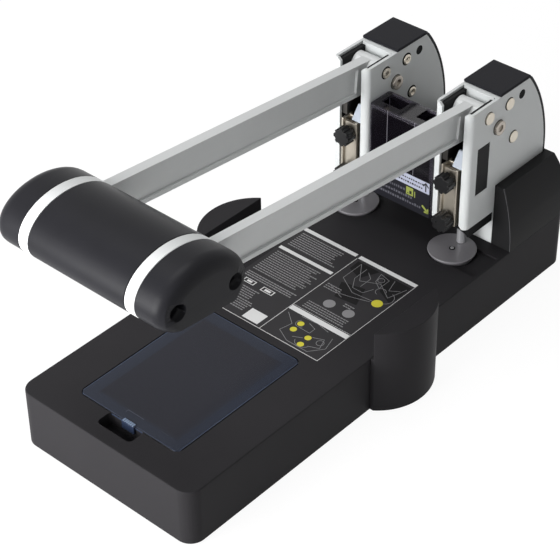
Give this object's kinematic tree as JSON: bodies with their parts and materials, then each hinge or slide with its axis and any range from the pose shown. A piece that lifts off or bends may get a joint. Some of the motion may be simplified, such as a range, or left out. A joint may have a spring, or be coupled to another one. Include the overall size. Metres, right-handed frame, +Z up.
{
  "type": "heavy-duty two-hole paper punch",
  "caption": "Long low base with a lidded storage tray, two upright steel punching heads, a chip box between them and a two-arm lever with a D-section grip.",
  "frame": {"origin": "centre of the bounding box's bottom, on the surface that the feet stand on", "axes": "+Z up; -Y is the front, where the user stands and the grip lies; +X is the user's right"},
  "size_m": [0.1726, 0.3627, 0.1836],
  "materials": {
    "body_black": "fine matte grain",
    "housing_black": "fine matte grain",
    "panel_black": "matte printed sheet",
    "lid_smoke": "clear smoke blue, glossy",
    "latch_blue": "glossy",
    "steel_paint": "light grey enamel",
    "liner_black": "satin",
    "cap_black": "fine satin grain",
    "guide_black": "satin",
    "bolt_nickel": "nickel plated",
    "rivet_nickel": "nickel plated",
    "screw_steel": "zinc plated",
    "foot_rubber": "matte",
    "box_smoke": "clear smoke, glossy",
    "lever_paint": "light grey enamel",
    "grip_charcoal": "satin",
    "bush_bronze": "plain",
    "ram_steel": "oiled",
    "holder_nickel": "nickel plated",
    "rod_steel": "ground bright",
    "chute_clear": "milky, glossy",
    "knob_black": "satin",
    "board_grey": "satin"
  },
  "bodies": {
    "punch_body": {"base_housing": "body_black", "bottom_plate": "body_black", "rubber_feet": "foot_rubber", "base_screws": "screw_steel", "frame_screws": "screw_steel", "info_plate": "panel_black", "left_wing": "body_black", "right_wing": "body_black", "rear_housing": "housing_black", "left_head_frame": "steel_paint", "right_head_frame": "steel_paint", "left_head_liner": "liner_black", "right_head_liner": "liner_black", "left_top_cap": "cap_black", "right_top_cap": "cap_black", "left_back_cover": "cap_black", "right_back_cover": "cap_black", "left_rod_guide": "guide_black", "right_rod_guide": "guide_black", "head_bolts": "bolt_nickel", "head_nuts": "bolt_nickel", "bolt_spacers": "screw_steel", "head_rivets": "rivet_nickel", "board_pins": "screw_steel", "chip_shelf": "guide_black", "lever_pins": "rivet_nickel"},
    "lever": {"left_arm": "lever_paint", "right_arm": "lever_paint", "grip_upper_shell": "grip_charcoal", "grip_lower_shell": "grip_charcoal", "left_grip_cap": "grip_charcoal", "right_grip_cap": "grip_charcoal", "grip_tie_rods": "screw_steel", "grip_screws": "screw_steel", "hub_bushes": "bush_bronze", "drive_pins": "screw_steel"},
    "storage_lid": {"storage_lid": "lid_smoke", "lid_latch": "latch_blue", "lid_hinge_pins": "screw_steel"},
    "chip_box": {"chip_box": "box_smoke", "chip_box_cover": "box_smoke"},
    "left_rod_board": {"left_rod_board": "board_grey"},
    "right_rod_board": {"right_rod_board": "board_grey"},
    "left_ram": {"left_ram_block": "ram_steel", "left_holder": "holder_nickel", "left_clamp_plate": "holder_nickel", "left_rod": "rod_steel", "left_chip_chute": "chute_clear"},
    "left_upper_knob": {"left_upper_knob": "knob_black"},
    "left_lower_knob": {"left_lower_knob": "knob_black"},
    "right_ram": {"right_ram_block": "ram_steel", "right_holder": "holder_nickel", "right_clamp_plate": "holder_nickel", "right_rod": "rod_steel", "right_chip_chute": "chute_clear"},
    "right_upper_knob": {"right_upper_knob": "knob_black"},
    "right_lower_knob": {"right_lower_knob": "knob_black"}
  },
  "joints": [
    {"name": "lever_hinge", "type": "hinge", "parent": "punch_body", "child": "lever", "pos_m": [0, 0.10696, 0.1409], "axis": [-1, 0, 0], "range_deg": [0, 60]},
    {"name": "lid_hinge", "type": "hinge", "parent": "punch_body", "child": "storage_lid", "pos_m": [0, -0.04984, 0.04], "axis": [-1, 0, 0], "range_deg": [0, 30]},
    {"name": "chip_box_slide", "type": "slide", "parent": "punch_body", "child": "chip_box", "axis": [0, -1, 0], "range_m": [0, 0.045]},
    {"name": "left_ram_slide", "type": "slide", "parent": "punch_body", "child": "left_ram", "axis": [0, 0, 1], "range_m": [0, 0.0131]},
    {"name": "left_rod_board_turn", "type": "hinge", "parent": "punch_body", "child": "left_rod_board", "pos_m": [-0.04, 0.09606, 0.043], "axis": [0, 0, 1], "continuous": true},
    {"name": "left_upper_knob_turn", "type": "hinge", "parent": "left_ram", "child": "left_upper_knob", "pos_m": [-0.04, 0.08536, 0.0995], "axis": [0, 1, 0], "continuous": true},
    {"name": "left_lower_knob_turn", "type": "hinge", "parent": "left_ram", "child": "left_lower_knob", "pos_m": [-0.04, 0.08536, 0.0705], "axis": [0, 1, 0], "continuous": true},
    {"name": "right_ram_slide", "type": "slide", "parent": "punch_body", "child": "right_ram", "axis": [0, 0, 1], "range_m": [0, 0.0131]},
    {"name": "right_rod_board_turn", "type": "hinge", "parent": "punch_body", "child": "right_rod_board", "pos_m": [0.04, 0.09606, 0.043], "axis": [0, 0, 1], "continuous": true},
    {"name": "right_upper_knob_turn", "type": "hinge", "parent": "right_ram", "child": "right_upper_knob", "pos_m": [0.04, 0.08536, 0.0995], "axis": [0, 1, 0], "continuous": true},
    {"name": "right_lower_knob_turn", "type": "hinge", "parent": "right_ram", "child": "right_lower_knob", "pos_m": [0.04, 0.08536, 0.0705], "axis": [0, 1, 0], "continuous": true}
  ],
  "couplings": [
    {"joint": "left_ram_slide", "follows": "lever_hinge", "m_per_rad": 0.012414},
    {"joint": "right_ram_slide", "follows": "lever_hinge", "m_per_rad": 0.012414}
  ]
}
